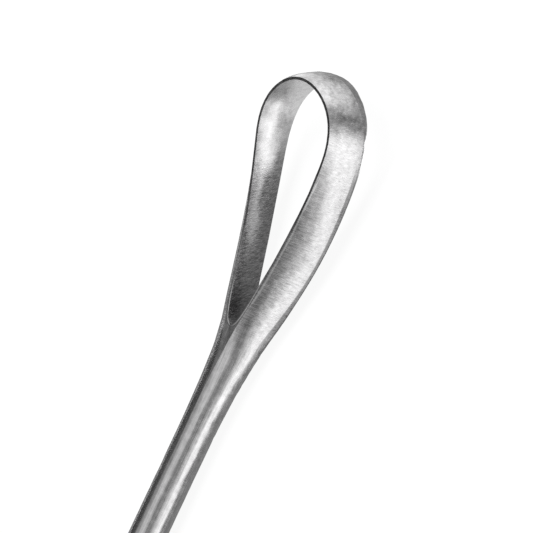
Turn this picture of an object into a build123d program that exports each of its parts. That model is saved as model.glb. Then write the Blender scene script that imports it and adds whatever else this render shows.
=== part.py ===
from build123d import *
import math
import os

os.makedirs("parts", exist_ok=True)

# Sizes in mm. +X runs from the handle to the loop, Y across, +Z is the side of the scraping edge.
overall_length = 290.0
shaft_diameter = 4.5

# Handle: a flat bar, slightly tapered, with a rounded butt and a shoulder that runs into the shaft
handle_length = 130.0
handle_width = 10.4
handle_front_width = 8.4
handle_thickness = 6.0
handle_edge_round = 1.3
shoulder_length = 22.0
shoulder_tip_width = 2.6

# Opening of the loop, seen square to the loop and measured along its bent middle plane
opening_length = 31.8
outline_shares = (0.016, 0.063, 0.19, 0.38, 0.57, 0.69, 0.79, 0.88, 0.943, 0.984)
outline_half_widths = (0.62, 1.2, 2.17, 3.44, 4.72, 5.44, 5.8, 5.26, 3.95, 2.15)
# The wall of the opening bulges into it by this much half way down
wall_crown = 0.25

# Bend of the head toward the scraping edge
bend_start = -4.0
bend_radius = 109.0
band_lift = 0.62

# Sections of half the neck, by share of its length before the fork, and of a limb, by share of its
# length past it. Each row: share, thickness, top, underside, widest height, top land, heel land,
# flatness of the flank
neck_length = 18.0
crown_land = 0.05
neck_rows = (
    (-0.67, 2.33, 1.62, -2.88, -0.66, 0.05, 0.05, 0.0),
    (-0.39, 2.68, 1.62, -2.9, -0.82, 0.12, 0.15, 0.05),
    (-0.17, 3.15, 1.72, -2.8, -1.0, 0.4, 0.3, 0.2),
)
limb_rows = (
    (0.03, 3.1, 2.15, -2.6, -1.4, 0.48, 0.3, 0.4),
    (0.14, 3.1, 2.32, -2.32, -1.62, 0.44, 0.3, 0.5),
    (0.36, 3.3, 2.32, -2.32, -1.62, 0.38, 0.3, 0.6),
    (0.58, 2.65, 2.56, -2.56, -1.75, 0.35, 0.3, 0.6),
    (0.8, 1.6, 3.1, -3.1, -1.5, 0.35, 0.3, 0.5),
    (1.0, 1.05, 3.45, -3.45, -0.9, 0.35, 0.3, 0.4),
)
limb_root_share = 0.14
section_step = 1.6
wall_spare = 0.5

# The solid that opens the loop: rings and points that it is lofted through, how far it reaches below
# and above the band, as shares of the band's height at the tip, and how far up the crown goes on
plug_rings = 12
plug_stations = 32
plug_depth = 1.7
plug_height = 3.5
crown_reach = 1.5

shaft_radius = shaft_diameter / 2
ellipse_pull = 4 / 3 * (math.sqrt(2) - 1)


def place(along, across, height):
    """A point of the straight head, carried to its place on the bent head."""
    turn = max(along - bend_start, 0.0) / bend_radius
    reach = min(along, bend_start) + bend_radius * math.sin(turn)
    rise = band_lift + bend_radius * (1 - math.cos(turn))
    return Vector(reach - height * math.sin(turn), across, rise + height * math.cos(turn))


def opening_outline():
    """Closed outline of the opening, from the fork round one limb, the tip and the other limb."""
    side = [(share * opening_length, y) for share, y in zip(outline_shares, outline_half_widths)]
    other = [(x, -y) for x, y in reversed(side)]
    return Spline(*[(0, 0)] + side + [(opening_length, 0)] + other, periodic=True)


def on_outline(outline, share):
    """Point and outward direction on the half outline, by share of its length."""
    if share >= 1:
        return Vector(opening_length, 0), (1.0, 0.0)
    point = outline @ (share / 2)
    direction = outline % (share / 2)
    return point, (-direction.Y, direction.X)


def smooth_row(rows, place_on_path):
    """Row of section sizes at any place, by a smooth curve through the given rows."""
    last = len(rows) - 2
    i = 0
    while i < last and rows[i + 1][0] < place_on_path:
        i += 1
    before, first, second, after = (rows[max(i - 1, 0)], rows[i], rows[i + 1], rows[min(i + 2, last + 1)])
    gap = second[0] - first[0]
    u = (place_on_path - first[0]) / gap
    result = []
    for a, b, c, d in list(zip(before, first, second, after))[1:]:
        start = (c - a) / (second[0] - before[0]) * gap
        end = (d - b) / (after[0] - first[0]) * gap
        value = b * (1 + 2 * u) * (1 - u) ** 2 + start * u * (1 - u) ** 2
        value += c * (3 - 2 * u) * u**2 - end * u**2 * (1 - u)
        result.append(value)
    return result


def base_at(outline, distance):
    """Point under the section and its outward direction, for a distance along neck and limb."""
    if distance <= bend_start:
        return (distance, 0.0), (0.0, 1.0)
    root, outward = on_outline(outline, limb_root_share)
    if distance >= root.X:
        share = limb_root_share + 2 * (distance - root.X) / outline.length
        point, outward = on_outline(outline, min(share, 1.0))
        return (point.X, point.Y), outward
    span = root.X - bend_start
    u = (distance - bend_start) / span
    grade = -outward[0] / outward[1]
    across = root.Y * (3 - 2 * u) * u**2 - grade * span * u**2 * (1 - u)
    lean = (root.Y * 6 * u * (1 - u) - grade * span * (2 * u - 3 * u**2)) / span
    size = math.hypot(1, lean)
    return (distance, across), (-lean / size, 1 / size)


def section(base, normal, sizes):
    """Closed section of a limb or of half the neck, standing on its base point."""
    thickness, top, underside, widest, land, heel, flatness = sizes

    def at(out, height):
        return place(base[0] + normal[0] * out, base[1] + normal[1] * out, height)

    span = thickness - land
    drop = top - widest
    pull = (1 - flatness) * ellipse_pull + flatness / 3
    slope_out = flatness / 3 * span
    slope_down = pull * drop
    below = ellipse_pull * (widest - underside) / math.hypot(slope_out, slope_down)
    corner = at(land, top)
    side = at(thickness, widest)
    foot = at(heel, underside)
    upper = Bezier(
        corner,
        at(land + pull * span, top - flatness / 3 * drop),
        at(thickness - slope_out, widest + slope_down),
        side,
    )
    lower = Bezier(
        side,
        at(thickness + slope_out * below, widest - slope_down * below),
        at(heel + ellipse_pull * (thickness - heel), underside),
        foot,
    )
    inner_top = at(-wall_spare, top)
    inner_foot = at(-wall_spare, underside)
    return Wire([Line(inner_top, corner), upper, lower, Line(foot, inner_foot), Line(inner_foot, inner_top)])


def limb_end(outline):
    """Distance along the limb at which it reaches the tip of the loop."""
    root, _ = on_outline(outline, limb_root_share)
    return root.X + outline.length / 2 * (1 - limb_root_share)


def path_rows(path_end):
    """Sizes of the sections, by distance along the neck and a limb."""
    shaft_row = (-neck_length, shaft_radius, shaft_radius - band_lift, -shaft_radius - band_lift)
    rows = [shaft_row + (-band_lift, crown_land, crown_land, 0.0)]
    rows += [(row[0] * neck_length,) + row[1:] for row in neck_rows]
    return rows + [(row[0] * path_end,) + row[1:] for row in limb_rows]


def half_band(outline):
    """Half of the neck and one limb as one smooth body, up to the tip of the loop."""
    path_end = limb_end(outline)
    rows = path_rows(path_end)
    count = math.ceil((path_end + neck_length) / section_step)
    wires = []
    for i in range(count + 1):
        distance = -neck_length + (path_end + neck_length) * i / count
        base, normal = base_at(outline, distance)
        wires.append(section(base, normal, smooth_row(rows, distance)))
    return Solid.make_loft(wires)


def opening_plug(outline):
    """The opening as a solid, square to the bent middle plane, with walls crowned toward it."""
    rows = path_rows(limb_end(outline))
    root, _ = on_outline(outline, limb_root_share)
    stations = []
    for i in range(plug_stations + 1):
        share = i / plug_stations
        point, outward = on_outline(outline, share)
        past_root = max(share - limb_root_share, 0.0) * outline.length / 2
        edge_height = smooth_row(rows, min(point.X, root.X) + past_root)[1]
        stations.append((point, outward, edge_height))
    tip_height = limb_rows[-1][2]
    lowest = -plug_depth * tip_height
    highest = plug_height * tip_height
    rings = []
    for k in range(plug_rings + 1):
        level = lowest + (highest - lowest) * k / plug_rings
        side = []
        for point, outward, edge_height in stations:
            turn = max(point.X - bend_start, 0.0) / bend_radius
            middle = place(point.X, point.Y, 0)
            height = (level - middle.Z) / math.cos(turn)
            part = min(abs(height) / edge_height, crown_reach)
            bulge = wall_crown * (1 - part**2)
            reach = middle.X - height * math.sin(turn) - outward[0] * bulge
            side.append((reach, point.Y - outward[1] * bulge, level))
        other = [(x, -y, z) for x, y, z in reversed(side[1:-1])]
        rings.append(Wire([Spline(*side + other, periodic=True)]))
    return Solid.make_loft(rings)


def half_head(outline):
    """Half of neck and loop, trimmed on the middle plane and opened."""
    length = neck_length + opening_length
    beyond = Pos((opening_length / 2 - neck_length) / 2, -length / 2, 0) * Box(length, length, length)
    return half_band(outline) - beyond - opening_plug(outline)


def shaft_and_head():
    """Round shaft drawn out of the neck's own end face, with neck and loop, in mirrored halves."""
    half = half_head(opening_outline())
    end_face = half.faces().filter_by(Plane.YZ).sort_by(Axis.X)[0]
    reach = half.bounding_box().max.X
    shaft_length = overall_length - reach - neck_length - handle_length + handle_width
    half = half + extrude(end_face, shaft_length, dir=(-1, 0, 0))
    return half + mirror(half, about=Plane.XZ), reach


def handle():
    """Flat bar, drawn in plan with its butt at the origin and every edge of its flats rounded."""
    half = handle_width / 2
    front = handle_front_width / 2
    tip = shoulder_tip_width / 2
    nose = handle_length + shoulder_length
    taper = (handle_length - half, front - half)
    side = Line((half, half), (handle_length, front))
    shoulder = Spline((handle_length, front), (nose, tip), tangents=[taper, (1, 0)])
    butt = ThreePointArc((half, -half), (0, 0), (half, half))
    end = Line((nose, tip), (nose, -tip))
    edges = [butt, side, shoulder, end, mirror(shoulder, about=Plane.XZ), mirror(side, about=Plane.XZ)]
    plan = make_face(edges)
    bar = Pos(0, 0, -handle_thickness / 2) * extrude(plan, handle_thickness)
    flats = bar.faces().filter_by(Axis.Z)
    return fillet(flats.edges(), handle_edge_round)


def curette_body():
    """The whole instrument in one piece, lying on the flat of its handle, centred lengthwise."""
    front, reach = shaft_and_head()
    body = front + Pos(reach - overall_length, 0, 0) * handle()
    return Pos(overall_length / 2 - reach, 0, handle_thickness / 2) * body


curette = curette_body()
export_step(curette, "parts/curette.step")
box = curette.bounding_box()
print("curette", round(curette.volume, 1), "mm3, valid:", curette.is_valid, "solids:", len(curette.solids()))
print("box", box)
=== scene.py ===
"""Uterine curette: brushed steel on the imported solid, with its stage, lamp and camera."""

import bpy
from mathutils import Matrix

bl_info = {
    "name": "Uterine curette",
    "version": (1, 0, 0),
    "blender": (4, 5, 0),
    "location": "3D View > Sidebar > Curette",
    "description": "Finishes a one-piece loop curette in brushed steel and sets its stage",
    "category": "Object",
}

from collections import namedtuple

import bmesh
import bpy
from bpy.props import FloatProperty, FloatVectorProperty, PointerProperty
from mathutils import Matrix, Vector

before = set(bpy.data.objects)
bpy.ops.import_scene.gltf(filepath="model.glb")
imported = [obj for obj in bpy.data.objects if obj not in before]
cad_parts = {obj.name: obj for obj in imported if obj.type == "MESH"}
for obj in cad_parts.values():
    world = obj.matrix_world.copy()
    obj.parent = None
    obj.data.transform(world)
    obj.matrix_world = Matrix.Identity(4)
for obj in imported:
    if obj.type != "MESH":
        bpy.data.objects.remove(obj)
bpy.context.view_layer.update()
NODE = "curette"

MM = 0.001
WHITE = (1.0, 1.0, 1.0, 1.0)
BLACK = (0.0, 0.0, 0.0, 1.0)

# The limbs run straight on as far as the round end, and the whole head is bent about this centre
ROUND_END = 0.1375
END_RADIUS = 0.0065
BEND_CENTRE = (0.10814, 0.0, 0.11262)

# The fork end of the opening is a parabola: the square of its half width grows by this much for
# each metre past the fork
FORK = 0.1121
FORK_OPENING = 0.00075

# Masks over places along the instrument, in metres: 0 as far as the first place, 1 past the second
ALONG = {
    "past_fork": (FORK - MM, FORK),
    "near_fork": (0.121, 0.113),
    "past_root": (0.119, 0.129),
    "limb": (0.112, 0.117),
    "wide_shoulder": (0.113, 0.12),
    "heel_start": (0.107, 0.115),
    "heel_end": (0.137, 0.132),
    "heel_rise": (0.121, 0.106),
    "line_start": (0.114, 0.118),
    "line_end": (0.133, 0.129),
    "line_rise": (0.124, 0.13),
    "smooth_wall": (0.128, 0.136),
    "polished_tip": (0.136, 0.141),
    "inner_end_highlight": (0.1372, 0.1392),
}

# Masks over how squarely a face looks toward the centre of the bend: 1 for the land at the
# scraping edge, 0 for the middle of a flank and -1 for the heel
FACING = {
    "land": (0.99, 0.999),
    "below_land": (0.985, 0.96),
    "flank": (0.95, 0.9),
    "bead": (0.5, 0.8),
    "hollow": (0.5, 0.3),
}
# Faces that carry the painted highlight on the shoulder beside the land, and how much the shoulder
# widens along the loop
SHOULDER_FACE = (0.9, 0.93)
SHOULDER_WIDENING = 0.08

# Mask over how far a face looks away from the round end's centre, and one over places across the
# instrument
INNER_FACE = (0.5 * MM, -0.5 * MM)
NEAR_SIDE = (MM, -MM)

# Fine strips that keep a distance from the centre of the bend, painted shade along the heel and a
# painted highlight along the fine line below the land: the distance, how much nearer they come
# over a part of their length, and their reach and softness
HEEL_DISTANCE = 0.11063
HEEL_RISE = 0.9 * MM
HEEL_WIDTH = (0.35 * MM, 0.08 * MM)
LINE_DISTANCE = 0.10678
LINE_RISE = 0.18 * MM
LINE_WIDTH = (0.05 * MM, 0.03 * MM)

# The bead outside the opening's edge, which is raised and carries a painted highlight, as a
# middle, reach and softness, and the hollow inside it, which carries painted shade
BEAD = (0.13 * MM, 0.08 * MM, 0.04 * MM)
HOLLOW = (0.1 * MM, 0.0)

# Noise of the finish: the sizes of its features, one for each coordinate, and its detail
Noise = namedtuple("Noise", "sizes detail")
LENGTHWISE_MARKS = Noise((12.0 * MM, 0.16 * MM, 0.16 * MM), 2.0)
CROSSWISE_MARKS = Noise((0.12 * MM, 0.7 * MM, 3.5 * MM), 3.0)
MOTTLE = Noise((0.7 * MM, 0.7 * MM, 0.7 * MM), 2.0)
NOISE_ROUGHNESS = 0.6

# How the brush marks turn and lean, and how strong they are on parts of the band
BRUSH_TURN = 4.0 * MM
MARK_LEAN = 0.1
INNER_LEAN = 0.5
ROOT_MARKS = 0.4
INNER_MARKS = 1.2
SMOOTH_WALL = 1.7
TIP_POLISH = 0.5
MOTTLE_SHARE = 0.6

# Painted light and shade on the land: paler than the steel at the fork, and darker past the root
# and on the near limb
LAND_AT_FORK = -0.25
LAND_PAST_ROOT = 0.5
LAND_ON_NEAR_LIMB = 0.3

# Share of the colour that each painted shade takes off, on the heel and in the hollow, and that
# each painted highlight adds, on the shoulder, the fine line, the bead and the inner end. The
# colour ends at this many times the steel's own.
PAINTED_SHADES = {"heel": 0.58, "hollow": 0.4}
PAINTED_HIGHLIGHTS = {"shoulder": 0.4, "edge_highlight": 1.6, "bead": 1.4, "inner_end_highlight": 0.5}
BRIGHTEST = 2.0

# Height of the marks on the shaft, on the loop and on its inner wall, height of the land and the
# bead, and how much the marks change the roughness
SHAFT_RELIEF = 0.1
LOOP_RELIEF = 0.9
INNER_RELIEF_LOSS = 0.4
EDGE_RELIEF = 2.0
RELIEF_UNIT = 0.05 * MM
ROUGHNESS_SPREAD = 0.25

# The reflections are arranged as a point inside the loop and one beside its tip see them
HEAD = (0.122, 0.0, 0.008)
TIP = (0.139, -0.006)
DOME_RADIUS = 2.0
DOME_SEGMENTS = 64
DOME_RINGS = 32
ABOVE_FLOOR = 0.1 * MM

# A panel of light or dark that the steel reflects. Its spans are a middle, a reach to each side
# and the softness of the edge.
Panel = namedtuple("Panel", "name strength spans")

# Spans in degrees: azimuth from +X toward +Y, and elevation
DOME_LIGHT = 0.3
DOME_PANELS = (
    Panel("overhead", 0.8, {"elevation": (93, 21, 7)}),
    Panel("front_fill", 0.8, {"azimuth": (-101, 22, 6), "elevation": (18, 18, 10)}),
    Panel("flank_dark", 0.15, {"azimuth": (-134, 10, 6), "elevation": (46, 14, 5)}),
    Panel("shaft_strip", 1.5, {"azimuth": (-94, 11, 4), "elevation": (0, 18, 5)}),
    Panel("flank_strip", 1.45, {"azimuth": (-114, 12, 6), "elevation": (0, 10, 6)}),
    Panel("tip_strip", 1.3, {"azimuth": (-5, 26, 10), "elevation": (8, 14, 5)}),
    Panel("corner_dark", 0.4, {"azimuth": (-62, 16, 10), "elevation": (10, 22, 5)}),
    Panel("back_dark", 0.08, {"azimuth": (112, 50, 10), "elevation": (22, 26, 8)}),
)

# Painted shadow and light on a sheet over the floor that only the steel sees: darker round and
# under the instrument, with lighter patches for the inner wall. Spans in millimetres along and
# across the instrument, and in degrees as the tip sees the floor
FLOOR_LIGHT = 1.5
FLOOR_PANELS = (
    Panel("beyond_tip", 0.95, {"bearing": (10, 50, 8), "along": (400, 260, 4)}),
    Panel("corner_dark", 0.25, {"bearing": (-50, 18, 14)}),
    Panel("behind_dark", 0.28, {"along": (-21, 140, 2), "across": (60, 74.5, 3.5)}),
    Panel("neck_shade", 0.28, {"along": (112, 8, 5), "across": (-5, 14, 3)}),
    Panel("loop_shade", 0.3, {"along": (134, 16, 3), "across": (0, 21, 1.5)}),
    Panel("fork_shade", 0.25, {"along": (120, 6, 2), "across": (-10, 25, 3)}),
    Panel("tip_shade", 0.3, {"along": (157, 13, 6), "across": (-2, 16, 4)}),
    Panel("inside_dark", 0.17, {"along": (122, 11, 3), "across": (0, 4.5, 1)}),
    Panel("inside_streak", 0.62, {"along": (131.5, 5.5, 2.5), "across": (-7, 4.3, 1.5)}),
    Panel("inside_light", 1.8, {"along": (138.6, 3.1, 1), "across": (-6.2, 4.7, 1.1)}),
    Panel("inside_near", 1.35, {"along": (135.4, 1.2, 0.8), "across": (-2.6, 2.3, 0.8)}),
    Panel("inside_grey", 0.55, {"along": (139.6, 3.4, 1.8), "across": (6, 6.8, 0.8)}),
)

SENSOR_WIDTH = 36.0
CLIP_START = 0.01


class SteelSettings(bpy.types.PropertyGroup):
    """Colour and finish of the steel."""

    steel_color: FloatVectorProperty(
        name="Steel colour",
        description="Colour of the bare steel",
        subtype="COLOR",
        size=3,
        min=0.0,
        max=1.0,
        default=(0.64, 0.636, 0.64),
    )
    roughness: FloatProperty(
        name="Roughness",
        description="Roughness of the satin finish between the brush marks",
        subtype="FACTOR",
        min=0.0,
        max=1.0,
        default=0.24,
    )
    brush_depth: FloatProperty(
        name="Brush depth",
        description="Depth of the brush marks in the surface",
        subtype="FACTOR",
        min=0.0,
        max=1.0,
        default=0.25,
    )
    mark_contrast: FloatProperty(
        name="Mark contrast",
        description="How much lighter or darker the brush marks are than the steel between them",
        min=0.0,
        max=2.0,
        default=1.15,
    )
    fork_along: FloatProperty(
        name="Fork place",
        description="Place along the instrument where the brushing turns crosswise",
        unit="LENGTH",
        default=0.111,
    )


class StageSettings(bpy.types.PropertyGroup):
    """Floor, lamp, world and camera."""

    floor_size: FloatProperty(
        name="Floor size",
        description="Side of the square floor",
        unit="LENGTH",
        default=6.0,
    )
    floor_color: FloatVectorProperty(
        name="Floor colour",
        description="Colour of the plain floor",
        subtype="COLOR",
        size=3,
        min=0.0,
        max=1.0,
        default=(0.9, 0.9, 0.9),
    )
    floor_white: FloatProperty(
        name="Floor white",
        description="Share of plain white in the floor that is seen, the rest is lit and shaded",
        subtype="FACTOR",
        min=0.0,
        max=1.0,
        default=0.92,
    )
    lamp_power: FloatProperty(
        name="Lamp power",
        description="Power of the soft lamp over the head",
        unit="POWER",
        min=0.0,
        default=20.0,
    )
    lamp_height: FloatProperty(
        name="Lamp height",
        description="Height of the soft lamp above the floor",
        unit="LENGTH",
        min=0.0,
        default=1.2,
    )
    lamp_size: FloatProperty(
        name="Lamp size",
        description="Side of the square softbox",
        unit="LENGTH",
        min=0.0,
        default=0.8,
    )
    world_fill: FloatProperty(
        name="World fill",
        description="Strength of the plain light that comes from all round",
        min=0.0,
        default=0.5,
    )
    camera_place: FloatVectorProperty(
        name="Camera place",
        description="Where the camera stands",
        subtype="TRANSLATION",
        size=3,
        default=(0.10176, -0.30103, 0.33733),
    )
    camera_forward: FloatVectorProperty(
        name="Camera direction",
        description="Direction in which the camera looks",
        subtype="DIRECTION",
        size=3,
        default=(0.04134, 0.66994, -0.74126),
    )
    camera_up: FloatVectorProperty(
        name="Camera up",
        description="Direction that is up in the picture",
        subtype="DIRECTION",
        size=3,
        default=(0.90378, 0.29124, 0.31362),
    )
    camera_lens: FloatProperty(
        name="Focal length",
        description="Focal length of the camera in millimetres",
        unit="CAMERA",
        min=20.0,
        default=248.8,
    )


class Socket:
    """An output socket whose arithmetic adds Math nodes."""

    def __init__(self, graph, output):
        self.graph = graph
        self.output = output

    def __add__(self, other):
        return self.graph.maths("ADD", self, other)

    __radd__ = __add__

    def __mul__(self, other):
        return self.graph.maths("MULTIPLY", self, other)

    __rmul__ = __mul__

    def __sub__(self, other):
        return self.graph.maths("SUBTRACT", self, other)

    def __rsub__(self, other):
        return self.graph.maths("SUBTRACT", other, self)

    def __truediv__(self, other):
        return self.graph.maths("DIVIDE", self, other)

    def clamp(self):
        """The value, held between 0 and 1."""
        return self.graph.maths("MINIMUM", self.graph.maths("MAXIMUM", self, 0.0), 1.0)

    def within(self, middle, reach, soft):
        """1 within the reach of a middle value, fading to 0 over a soft edge on each side."""
        away = self.graph.maths("ABSOLUTE", self - middle)
        return self.graph.ramp(away, reach + soft, reach - soft)


class Graph:
    """Builds one material's nodes."""

    def __init__(self, tree):
        self.tree = tree
        self.tree.nodes.clear()

    def node(self, kind, settings=None, inputs=None, output=0):
        """Adds a node: its settings, then its values and links. Gives one of its outputs."""
        node = self.tree.nodes.new(kind)
        for key, value in (settings or {}).items():
            setattr(node, key, value)
        for key, value in (inputs or {}).items():
            self.plug(node.inputs[key], value)
        return Socket(self, node.outputs[output]) if node.outputs else node

    def plug(self, target, value):
        """Links a socket to an input, or sets the input to a plain value."""
        if isinstance(value, Socket):
            self.tree.links.new(value.output, target)
        else:
            target.default_value = value

    def maths(self, operation, *values):
        """A Math node."""
        return self.node("ShaderNodeMath", {"operation": operation}, dict(enumerate(values)))

    def vectors(self, operation, *values, output="Vector"):
        """A Vector Math node."""
        inputs = dict(enumerate(values))
        return self.node("ShaderNodeVectorMath", {"operation": operation}, inputs, output)

    def ramp(self, value, low, high):
        """0 at the low end and 1 at the high end, which may also be the smaller one."""
        return self.node(
            "ShaderNodeMapRange",
            {"interpolation_type": "SMOOTHSTEP"},
            {"Value": value, "From Min": low, "From Max": high},
        )

    def ramps(self, value, ends):
        """One ramp over a value for each named pair of ends."""
        return {name: self.ramp(value, *pair) for name, pair in ends.items()}

    def light(self, strength, label=""):
        """Plain white light, which may carry a label in the node editor."""
        inputs = {"Color": WHITE, "Strength": strength}
        return self.node("ShaderNodeEmission", {"label": label}, inputs)

    def parts(self, vector):
        """The three coordinates of a vector."""
        inputs = {"Vector": vector}
        return [self.node("ShaderNodeSeparateXYZ", inputs=inputs, output=axis) for axis in "XYZ"]


def new_material(name):
    """An empty material and the graph of its nodes."""
    material = bpy.data.materials.new(name)
    material.use_nodes = True
    return material, Graph(material.node_tree)


# A point of the steel: its coordinates, the masks over its place and facing, its distance from the
# centre of the bend, and whether it is on the loop and on the inner wall
Spot = namedtuple("Spot", "x y z along facing facing_up from_centre on_loop inner_wall")


def steel_spot(graph, fork_along):
    """Where a point of the steel lies on the bent head, and which way it faces."""
    place = graph.node("ShaderNodeTexCoord", output="Object")
    normal = graph.node("ShaderNodeNewGeometry", output="Normal")
    x, y, z = graph.parts(place)
    on_loop = graph.ramp(x, fork_along - BRUSH_TURN, fork_along + BRUSH_TURN)

    outward = graph.vectors("SUBTRACT", place, (ROUND_END, 0.0, 0.0))
    facing_out = graph.vectors("DOT_PRODUCT", outward, normal, output="Value")
    inner_wall = graph.ramp(facing_out, *INNER_FACE) * on_loop

    to_centre = graph.vectors("SUBTRACT", BEND_CENTRE, place)
    in_plane = graph.vectors("MULTIPLY", to_centre, (1.0, 0.0, 1.0))
    from_centre = graph.vectors("LENGTH", in_plane, output="Value")
    upward = graph.vectors("NORMALIZE", in_plane)
    facing_up = graph.vectors("DOT_PRODUCT", upward, normal, output="Value")

    along = graph.ramps(x, ALONG)
    facing = graph.ramps(facing_up, FACING)
    return Spot(x, y, z, along, facing, facing_up, from_centre, on_loop, inner_wall)


def edge_land_and_highlights(graph, spot):
    """The ground land at the scraping edge, a painted highlight on the shoulder beside it and
    another along the fine line below.
    """
    along, facing = spot.along, spot.facing
    squarely = spot.facing_up + along["wide_shoulder"] * SHOULDER_WIDENING
    shoulder = graph.ramp(squarely, *SHOULDER_FACE) * spot.on_loop * facing["below_land"]
    line = spot.from_centre.within(LINE_DISTANCE - along["line_rise"] * LINE_RISE, *LINE_WIDTH)
    line = line * facing["flank"] * along["line_start"] * along["line_end"]
    return {
        "land": facing["land"] * spot.on_loop,
        "shoulder": shoulder,
        "edge_highlight": line * (1.0 - spot.inner_wall),
    }


def fork_bead_and_hollow_shade(graph, spot):
    """The bead round the fork end of the opening with its painted highlight, and the painted shade
    in the hollow inside it.
    """
    x, y = spot.x, spot.y
    spread = y * y - (x - FORK) * FORK_OPENING
    slope = graph.maths("SQRT", y * y * 4.0 + FORK_OPENING * FORK_OPENING)
    away = spread / slope
    bead = away.within(*BEAD) * spot.along["near_fork"] * spot.facing["bead"]
    hollow = graph.ramp(away, *HOLLOW) * spot.along["near_fork"] * spot.facing["hollow"]
    return {"bead": bead, "hollow": hollow * spot.along["past_fork"]}


def heel_shade_mask(spot):
    """Painted shade along the heel on the outside of the band, which runs on into the neck."""
    along = spot.along
    heel = spot.from_centre.within(HEEL_DISTANCE - along["heel_rise"] * HEEL_RISE, *HEEL_WIDTH)
    return heel * (1.0 - spot.inner_wall) * along["heel_start"] * along["heel_end"]


def run_of_limb(graph, x, y):
    """Metres along a limb: straight on beside the opening, and by angle round the wide end."""
    past = graph.maths("MAXIMUM", x - ROUND_END, 0.0)
    turn = graph.maths("ARCTAN2", past, graph.maths("ABSOLUTE", y))
    return graph.maths("MINIMUM", x, ROUND_END) + turn * END_RADIUS


def fine_noise(graph, coordinates, noise):
    """Noise over three coordinates, with a mean of 0."""
    scaled = [at / size for at, size in zip(coordinates, noise.sizes)]
    vector = graph.node("ShaderNodeCombineXYZ", inputs=dict(enumerate(scaled)))
    texture = graph.node(
        "ShaderNodeTexNoise",
        inputs={
            "Vector": vector,
            "Scale": 1.0,
            "Detail": noise.detail,
            "Roughness": NOISE_ROUGHNESS,
        },
    )
    return texture - 0.5


def brush_marks(graph, spot):
    """Brush marks along handle and shaft and across the band, with a faint mottle."""
    x, y, z = spot.x, spot.y, spot.z
    along, inner_wall, on_loop = spot.along, spot.inner_wall, spot.on_loop
    run = run_of_limb(graph, x, y) + z * (MARK_LEAN + inner_wall * INNER_LEAN)
    lengthwise = fine_noise(graph, (x, y, z), LENGTHWISE_MARKS)
    crosswise = fine_noise(graph, (run, z, y), CROSSWISE_MARKS)
    crosswise = crosswise * (1.0 - along["polished_tip"] * TIP_POLISH)
    marks = lengthwise * (1.0 - on_loop) + crosswise * on_loop
    on_inner_wall = inner_wall * (INNER_MARKS - along["smooth_wall"] * SMOOTH_WALL)
    at_root = (1.0 - along["past_root"]) * on_loop * ROOT_MARKS
    mottle = fine_noise(graph, (x, y, z), MOTTLE)
    mottle_share = MOTTLE_SHARE + along["polished_tip"] * MOTTLE_SHARE
    return marks * (1.0 + on_inner_wall + at_root) + mottle * mottle_share


def steel_shade(graph, spot, marks, masks, contrast):
    """Brightness of each point, where 1 is the steel's own colour: the brush marks, then the
    painted shade and highlights.
    """
    near_limb = graph.ramp(spot.y, *NEAR_SIDE) * spot.along["limb"]
    # Painted light and shade on the land
    land_painted_shade_and_light = spot.along["past_root"] * LAND_PAST_ROOT + LAND_AT_FORK
    land_painted_shade_and_light = land_painted_shade_and_light + near_limb * LAND_ON_NEAR_LIMB
    shade = (1.0 + marks * contrast) * (1.0 - masks["land"] * land_painted_shade_and_light)
    # Painted shade on the heel and in the hollow, then painted highlights
    for name, share in PAINTED_SHADES.items():
        shade = shade * (1.0 - masks[name] * share)
    for name, share in PAINTED_HIGHLIGHTS.items():
        shade = shade + masks[name] * share
    return shade


def steel_material(settings):
    """Brushed steel with a ground scraping edge and a bead round the fork, with painted shade on
    the heel and in the hollow, painted light and shade on the land, and painted highlights on the
    shoulder, the fine line, the bead and the inner end.
    """
    material, graph = new_material("satin_steel")
    spot = steel_spot(graph, settings.fork_along)
    marks = brush_marks(graph, spot)
    masks = {
        **edge_land_and_highlights(graph, spot),
        **fork_bead_and_hollow_shade(graph, spot),
        "heel": heel_shade_mask(spot),
        # Painted highlight on the inner wall at the round end
        "inner_end_highlight": spot.inner_wall * spot.along["inner_end_highlight"],
    }
    shade = steel_shade(graph, spot, marks, masks, settings.mark_contrast)
    brightest = [BRIGHTEST * part for part in settings.steel_color] + [1.0]
    color = graph.node(
        "ShaderNodeMix",
        {"data_type": "RGBA"},
        {"Factor": shade / BRIGHTEST, "A": BLACK, "B": brightest},
        "Result",
    )
    rough = settings.roughness + marks * ROUGHNESS_SPREAD
    relief = SHAFT_RELIEF + spot.on_loop * (LOOP_RELIEF - spot.inner_wall * INNER_RELIEF_LOSS)
    height = marks * relief + (masks["land"] + masks["bead"]) * EDGE_RELIEF
    bump = graph.node(
        "ShaderNodeBump",
        inputs={"Height": height, "Strength": settings.brush_depth, "Distance": RELIEF_UNIT},
    )
    shader = graph.node(
        "ShaderNodeBsdfPrincipled",
        inputs={
            "Base Color": color,
            "Metallic": 1.0,
            "Roughness": rough.clamp(),
            "Normal": bump,
        },
    )
    graph.node("ShaderNodeOutputMaterial", inputs={"Surface": shader})
    return material


class CURETTE_OT_steel(bpy.types.Operator):
    """Give the curette its brushed steel"""

    bl_idname = "curette.steel"
    bl_label = "Curette"

    def execute(self, context):
        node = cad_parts[NODE]
        node.data.materials.clear()
        node.data.materials.append(steel_material(context.scene.curette_steel))
        return {"FINISHED"}


def seen(graph):
    """1 for camera, glossy and transmission rays."""
    camera, glossy, through = (
        graph.node("ShaderNodeLightPath", output=f"Is {kind} Ray")
        for kind in ("Camera", "Glossy", "Transmission")
    )
    return (camera + glossy + through).clamp()


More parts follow.
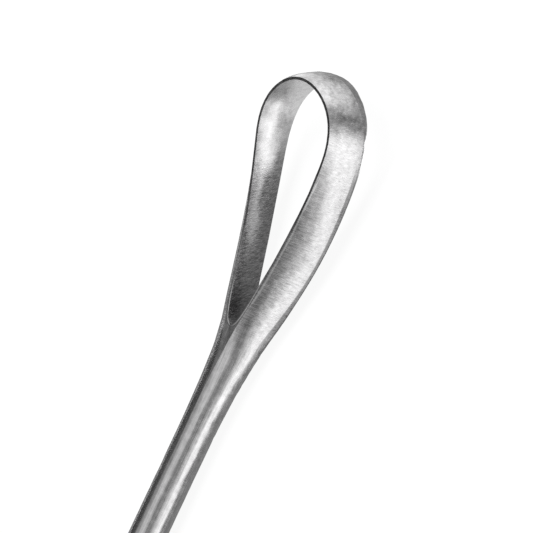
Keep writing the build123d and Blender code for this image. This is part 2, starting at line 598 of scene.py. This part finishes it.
def floor_material(settings):
    """Pale floor that reads as white and keeps a soft shadow."""
    material, graph = new_material("pale_floor")
    material.cycles.emission_sampling = "NONE"
    matt = graph.node("ShaderNodeBsdfDiffuse", inputs={"Color": (*settings.floor_color, 1.0)})
    white = seen(graph) * settings.floor_white
    shader = graph.node("ShaderNodeMixShader", inputs={0: white, 1: matt, 2: graph.light(1.0)})
    graph.node("ShaderNodeOutputMaterial", inputs={"Surface": shader})
    return material


def directions(graph, place):
    """Azimuth and elevation in degrees, as the head sees them."""
    x, y, z = graph.parts(graph.vectors("NORMALIZE", graph.vectors("SUBTRACT", place, HEAD)))
    return {
        "azimuth": graph.maths("DEGREES", graph.maths("ARCTAN2", y, x)),
        "elevation": graph.maths("DEGREES", graph.maths("ARCSINE", z)),
    }


def floor_places(graph, place):
    """Millimetres along and across the instrument, and degrees of azimuth as the tip sees them."""
    x, y, _ = graph.parts(place)
    return {
        "along": x / MM,
        "across": y / MM,
        "bearing": graph.maths("DEGREES", graph.maths("ARCTAN2", y - TIP[1], x - TIP[0])),
    }


def panelled_material(name, base, panels, spans_of):
    """Light of one plain strength, with panels of other strengths laid over it in turn."""
    material, graph = new_material(name)
    material.cycles.emission_sampling = "NONE"
    values = spans_of(graph, graph.node("ShaderNodeTexCoord", output="Object"))
    shader = graph.light(base)
    for panel in panels:
        mask = 1.0
        for key, span in panel.spans.items():
            mask = values[key].within(*span) * mask
        light = graph.light(panel.strength, panel.name)
        shader = graph.node("ShaderNodeMixShader", inputs={0: mask, 1: shader, 2: light})
    graph.node("ShaderNodeOutputMaterial", inputs={"Surface": shader})
    return material


def stage_piece(name, shape, material):
    """Turns a bmesh into a piece of the stage."""
    mesh = bpy.data.meshes.new(name)
    shape.to_mesh(mesh)
    shape.free()
    mesh.materials.append(material)
    piece = bpy.data.objects.new(name, mesh)
    bpy.context.scene.collection.objects.link(piece)
    return piece


def level_square(name, side, height, material):
    """A level square, centred on the instrument."""
    shape = bmesh.new()
    bmesh.ops.create_grid(shape, x_segments=1, y_segments=1, size=side / 2)
    bmesh.ops.translate(shape, vec=(0.0, 0.0, height), verts=shape.verts)
    return stage_piece(name, shape, material)


def reflection_dome(material):
    """Upper half of a sphere round the head."""
    shape = bmesh.new()
    bmesh.ops.create_uvsphere(
        shape, u_segments=DOME_SEGMENTS, v_segments=DOME_RINGS, radius=DOME_RADIUS
    )
    lower = [v for v in shape.verts if v.co.z < -ABOVE_FLOOR]
    bmesh.ops.delete(shape, geom=lower, context="VERTS")
    bmesh.ops.translate(shape, vec=HEAD, verts=shape.verts)
    return stage_piece("reflection_dome", shape, material)


def only_in_reflections(piece):
    """Leaves a piece of the stage to be seen in the steel alone."""
    piece.visible_camera = False
    piece.visible_diffuse = False
    piece.visible_transmission = False
    piece.visible_shadow = False


def soft_lamp(settings):
    """A square softbox that hangs over the head and shines down on it."""
    light = bpy.data.lights.new("softbox", "AREA")
    light.size = settings.lamp_size
    light.energy = settings.lamp_power
    lamp = bpy.data.objects.new("softbox", light)
    lamp.location = (HEAD[0], HEAD[1], settings.lamp_height)
    lamp.visible_glossy = False
    return lamp


def studio_world(fill_strength):
    """World that is white where it is seen and a plain fill elsewhere."""
    world = bpy.data.worlds.new("studio")
    world.use_nodes = True
    graph = Graph(world.node_tree)
    fill, white = (
        graph.node("ShaderNodeBackground", inputs={"Color": WHITE, "Strength": strength})
        for strength in (fill_strength, 1.0)
    )
    mixed = graph.node("ShaderNodeMixShader", inputs={0: seen(graph), 1: fill, 2: white})
    graph.node("ShaderNodeOutputWorld", inputs={"Surface": mixed})
    return world


def camera_holder(settings):
    """Camera at the photograph's place and angle."""
    camera = bpy.data.cameras.new("camera")
    camera.sensor_width = SENSOR_WIDTH
    camera.lens = settings.camera_lens
    camera.clip_start = CLIP_START
    holder = bpy.data.objects.new("camera", camera)
    forward = Vector(settings.camera_forward).normalized()
    right = forward.cross(Vector(settings.camera_up)).normalized()
    turn = Matrix((right, right.cross(forward), -forward)).transposed().to_4x4()
    holder.matrix_world = Matrix.Translation(Vector(settings.camera_place)) @ turn
    return holder


class CURETTE_OT_stage(bpy.types.Operator):
    """Set the floor, the reflections, the lamp, the world and the camera"""

    bl_idname = "curette.stage"
    bl_label = "Stage"

    def execute(self, context):
        scene = context.scene
        settings = scene.curette_stage
        level_square("floor", settings.floor_size, 0.0, floor_material(settings))
        dome_look = panelled_material("dome_panels", DOME_LIGHT, DOME_PANELS, directions)
        only_in_reflections(reflection_dome(dome_look))
        painted_floor_shade_and_light = panelled_material("floor_panels", FLOOR_LIGHT, FLOOR_PANELS, floor_places)
        mirrored = level_square("reflection_floor", 2 * DOME_RADIUS, ABOVE_FLOOR, painted_floor_shade_and_light)
        only_in_reflections(mirrored)
        scene.collection.objects.link(soft_lamp(settings))
        scene.world = studio_world(settings.world_fill)
        holder = camera_holder(settings)
        scene.collection.objects.link(holder)
        scene.camera = holder
        scene.view_settings.view_transform = "Standard"
        return {"FINISHED"}


class CURETTE_PT_panel(bpy.types.Panel):
    """Lists the steps that make the curette's scene"""

    bl_idname = "CURETTE_PT_panel"
    bl_label = "Curette"
    bl_space_type = "VIEW_3D"
    bl_region_type = "UI"
    bl_category = "Curette"

    def draw(self, context):
        scene = context.scene
        for settings, operator in (
            (scene.curette_steel, "curette.steel"),
            (scene.curette_stage, "curette.stage"),
        ):
            box = self.layout.box()
            for key in settings.__annotations__:
                box.prop(settings, key)
            box.operator(operator)


CLASSES = (SteelSettings, StageSettings, CURETTE_OT_steel, CURETTE_OT_stage, CURETTE_PT_panel)


def register():
    for cls in CLASSES:
        bpy.utils.register_class(cls)
    bpy.types.Scene.curette_steel = PointerProperty(type=SteelSettings)
    bpy.types.Scene.curette_stage = PointerProperty(type=StageSettings)


def unregister():
    del bpy.types.Scene.curette_stage
    del bpy.types.Scene.curette_steel
    for cls in reversed(CLASSES):
        bpy.utils.unregister_class(cls)


def main():
    """Registers the classes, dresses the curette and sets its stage."""
    register()
    bpy.ops.curette.steel()
    bpy.ops.curette.stage()


if __name__ == "__main__":
    main()
